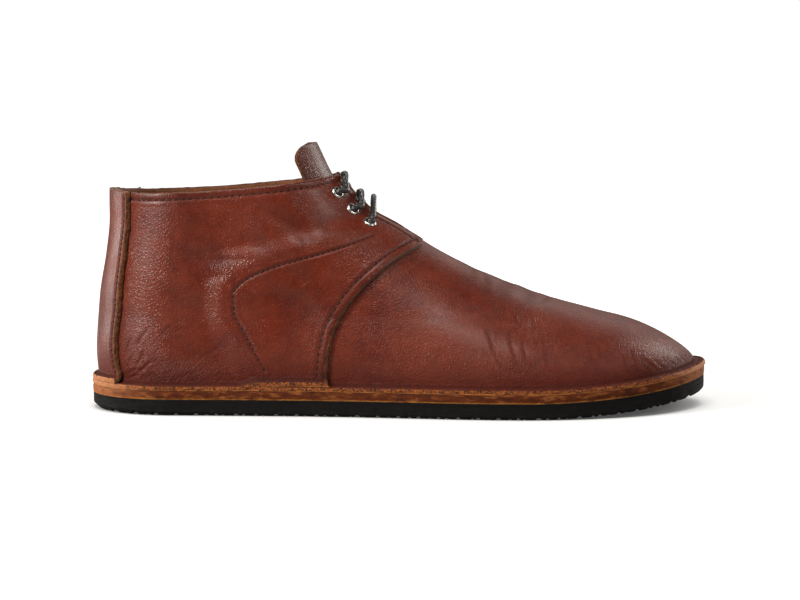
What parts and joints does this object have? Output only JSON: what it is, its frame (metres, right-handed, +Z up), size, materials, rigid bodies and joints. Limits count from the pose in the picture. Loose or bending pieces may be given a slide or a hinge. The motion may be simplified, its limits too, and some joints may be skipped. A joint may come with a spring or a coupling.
{
  "type": "chukka boot",
  "caption": "Unlined ankle-high leather chukka boot for the right foot, with a stitched-down flange, a leather midsole and a thin flexible rubber outsole.",
  "frame": {"origin": "on the floor, under the middle of the sole's length and width", "axes": "+X from heel to toe, +Y to the inner (medial) side, +Z up"},
  "size_m": [0.2913, 0.1106, 0.1249],
  "materials": {
    "upper_leather": "semi-gloss reddish brown grain leather",
    "tongue_leather": "semi-gloss reddish brown grain leather",
    "sole_leather": "matte tan cut edge",
    "insole_leather": "matte natural leather",
    "sole_rubber": "matte black",
    "eyelet_metal": "worn nickel",
    "lace_cord": "waxed black cord"
  },
  "bodies": {
    "root": {"outsole": "sole_rubber", "midsole": "sole_leather", "insole": "insole_leather", "upper": "upper_leather", "heel_panel": "upper_leather", "tongue": "tongue_leather", "eyelet_outer_1": "eyelet_metal", "eyelet_outer_2": "eyelet_metal", "eyelet_outer_3": "eyelet_metal", "eyelet_inner_1": "eyelet_metal", "eyelet_inner_2": "eyelet_metal", "eyelet_inner_3": "eyelet_metal", "lace_bar": "lace_cord", "lace_crossing_1": "lace_cord", "lace_crossing_2": "lace_cord"}
  },
  "joints": []
}
